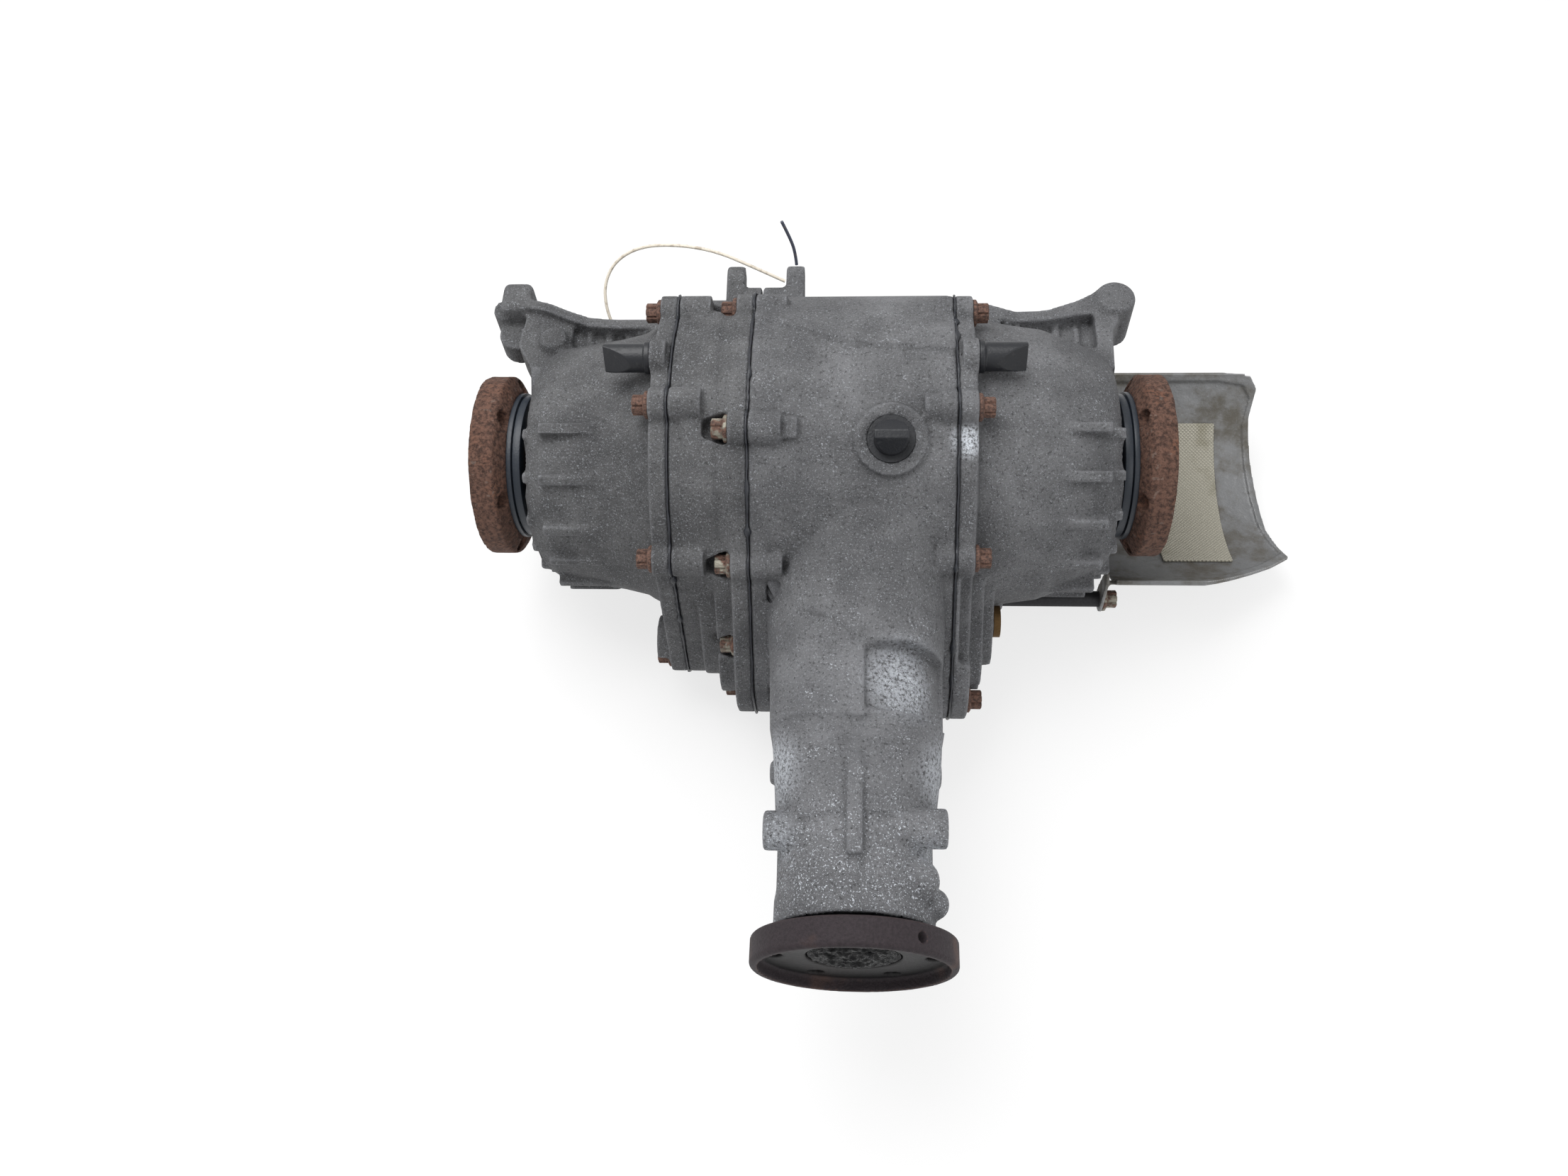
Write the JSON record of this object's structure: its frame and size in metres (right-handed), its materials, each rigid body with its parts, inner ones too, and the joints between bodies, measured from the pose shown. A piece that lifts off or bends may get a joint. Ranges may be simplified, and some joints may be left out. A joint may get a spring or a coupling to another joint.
{
  "type": "rear differential",
  "caption": "Rear axle drive: a bevel gear differential in a cast housing with a clutch drum and drive flange each side, and a long nose with an input flange.",
  "frame": {"origin": "centre of the input flange's rim face, on the pinion axis", "axes": "-Y out of the input flange along the pinion axis, +X along the output axis towards the heat shield side, +Z towards the vents"},
  "size_m": [0.5035, 0.425, 0.211],
  "materials": {
    "cast_aluminium": "weathered sand-cast grey with pale oxide flecks",
    "sealant": "cured black sealant",
    "bolt_steel": "zinc plate rusted brown",
    "black_rubber": "satin black",
    "plated_steel": "dull plated",
    "shield_aluminium": "dull rolled sheet",
    "glass_mat": "woven",
    "white_wire": "matte",
    "dark_wire": "matte",
    "rusty_forging": "brown rust",
    "dark_forging": "dark rust under grease",
    "gear_steel": "ground, oiled",
    "friction_lining": "paper lining on steel"
  },
  "bodies": {
    "root": {"main_housing": "cast_aluminium", "intermediate_housing": "cast_aluminium", "left_cover": "cast_aluminium", "right_cover": "cast_aluminium", "left_seam_sealant": "sealant", "middle_seam_sealant": "sealant", "right_seam_sealant": "sealant", "left_cover_bolts": "bolt_steel", "intermediate_housing_bolts": "bolt_steel", "right_cover_bolts": "bolt_steel", "left_vent_cap": "black_rubber", "right_vent_cap": "black_rubber", "centre_vent_cap": "black_rubber", "centre_vent_ring": "black_rubber", "vent_nipples": "plated_steel", "oil_plugs": "plated_steel", "heat_shield": "shield_aluminium", "heat_shield_pad": "glass_mat", "heat_shield_standoffs": "plated_steel", "heat_shield_bolts": "bolt_steel", "tie_wire": "white_wire", "wire_stub": "dark_wire", "pinion_bearing_cups": "gear_steel", "pinion_seal": "black_rubber", "case_bearing_cups": "gear_steel", "output_bearing_cups": "gear_steel", "output_seals": "black_rubber"},
    "carrier": {"ring_gear": "gear_steel", "ring_gear_bolts": "bolt_steel", "diff_case": "gear_steel", "cross_pin": "gear_steel", "case_bearing_cones": "gear_steel", "left_clutch_basket": "gear_steel", "right_clutch_basket": "gear_steel", "left_steel_plates": "gear_steel", "right_steel_plates": "gear_steel"},
    "pinion": {"pinion_shaft": "gear_steel", "input_flange": "dark_forging", "pinion_nut": "gear_steel", "pinion_spacer": "gear_steel", "pinion_bearing_cones": "gear_steel"},
    "left_output": {"left_side_gear": "gear_steel", "left_output_shaft": "gear_steel", "left_output_flange": "rusty_forging", "left_dust_ring": "black_rubber", "left_clutch_hub": "gear_steel", "left_lined_plates": "friction_lining", "left_output_bearing_cone": "gear_steel"},
    "right_output": {"right_side_gear": "gear_steel", "right_output_shaft": "gear_steel", "right_output_flange": "rusty_forging", "right_dust_ring": "black_rubber", "right_clutch_hub": "gear_steel", "right_lined_plates": "friction_lining", "right_output_bearing_cone": "gear_steel"},
    "upper_spider": {"upper_spider_gear": "gear_steel"},
    "lower_spider": {"lower_spider_gear": "gear_steel"},
    "left_piston": {"left_clutch_piston": "gear_steel"},
    "right_piston": {"right_clutch_piston": "gear_steel"}
  },
  "joints": [
    {"name": "ring_gear_spin", "type": "hinge", "parent": "root", "child": "carrier", "pos_m": [0, 0.3006, 0], "axis": [1, 0, 0], "continuous": true},
    {"name": "pinion_spin", "type": "hinge", "parent": "root", "child": "pinion", "pos_m": [0, 0.3006, 0], "axis": [0, 1, 0], "continuous": true},
    {"name": "left_output_spin", "type": "hinge", "parent": "carrier", "child": "left_output", "pos_m": [0, 0.3006, 0], "axis": [1, 0, 0], "continuous": true},
    {"name": "right_output_spin", "type": "hinge", "parent": "carrier", "child": "right_output", "pos_m": [0, 0.3006, 0], "axis": [1, 0, 0], "continuous": true},
    {"name": "upper_spider_spin", "type": "hinge", "parent": "carrier", "child": "upper_spider", "pos_m": [0, 0.3006, 0], "axis": [0, 0, 1], "continuous": true},
    {"name": "lower_spider_spin", "type": "hinge", "parent": "carrier", "child": "lower_spider", "pos_m": [0, 0.3006, 0], "axis": [0, 0, 1], "continuous": true},
    {"name": "left_piston_stroke", "type": "slide", "parent": "root", "child": "left_piston", "axis": [1, 0, 0], "range_m": [0, 0.0012], "stiffness_N_per_m": 2000},
    {"name": "right_piston_stroke", "type": "slide", "parent": "root", "child": "right_piston", "axis": [-1, 0, 0], "range_m": [0, 0.0012], "stiffness_N_per_m": 2000}
  ],
  "couplings": [
    {"joint": "pinion_spin", "follows": "ring_gear_spin", "ratio": -3.7273},
    {"joint": "right_output_spin", "follows": "left_output_spin", "ratio": -1},
    {"joint": "upper_spider_spin", "follows": "left_output_spin", "ratio": 1.6},
    {"joint": "lower_spider_spin", "follows": "left_output_spin", "ratio": -1.6}
  ]
}
